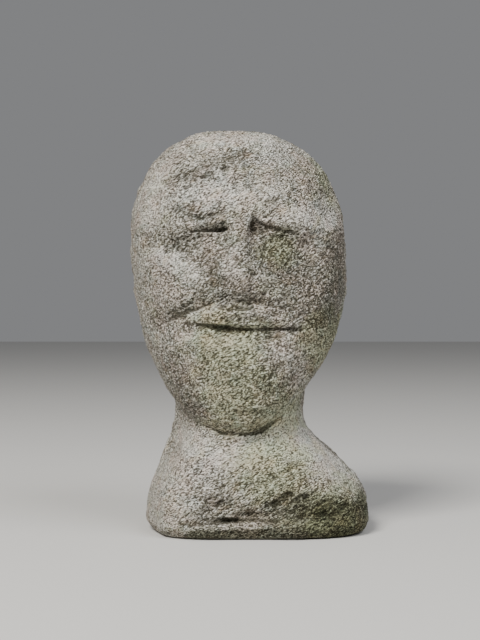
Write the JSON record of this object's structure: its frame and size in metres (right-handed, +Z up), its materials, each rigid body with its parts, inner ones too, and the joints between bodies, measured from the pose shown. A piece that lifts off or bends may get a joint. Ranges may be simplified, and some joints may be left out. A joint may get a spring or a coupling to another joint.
{
  "type": "celtic stone head",
  "caption": "Free-standing carved stone head with a schematic face, jutting jaw, short neck and lopsided shoulder block, cut from one stone.",
  "frame": {"origin": "on the flat underside of the shoulder block, straight below the middle of the head", "axes": "+Z up through the crown, -Y out of the face, +X to the right of someone who looks at the face"},
  "size_m": [0.197, 0.1613, 0.327],
  "materials": {
    "stone": "rough coarse-grained stone, weathered, with thin grey lichen and faint green algae"
  },
  "bodies": {
    "root": {"stone_head": "stone"}
  },
  "joints": []
}
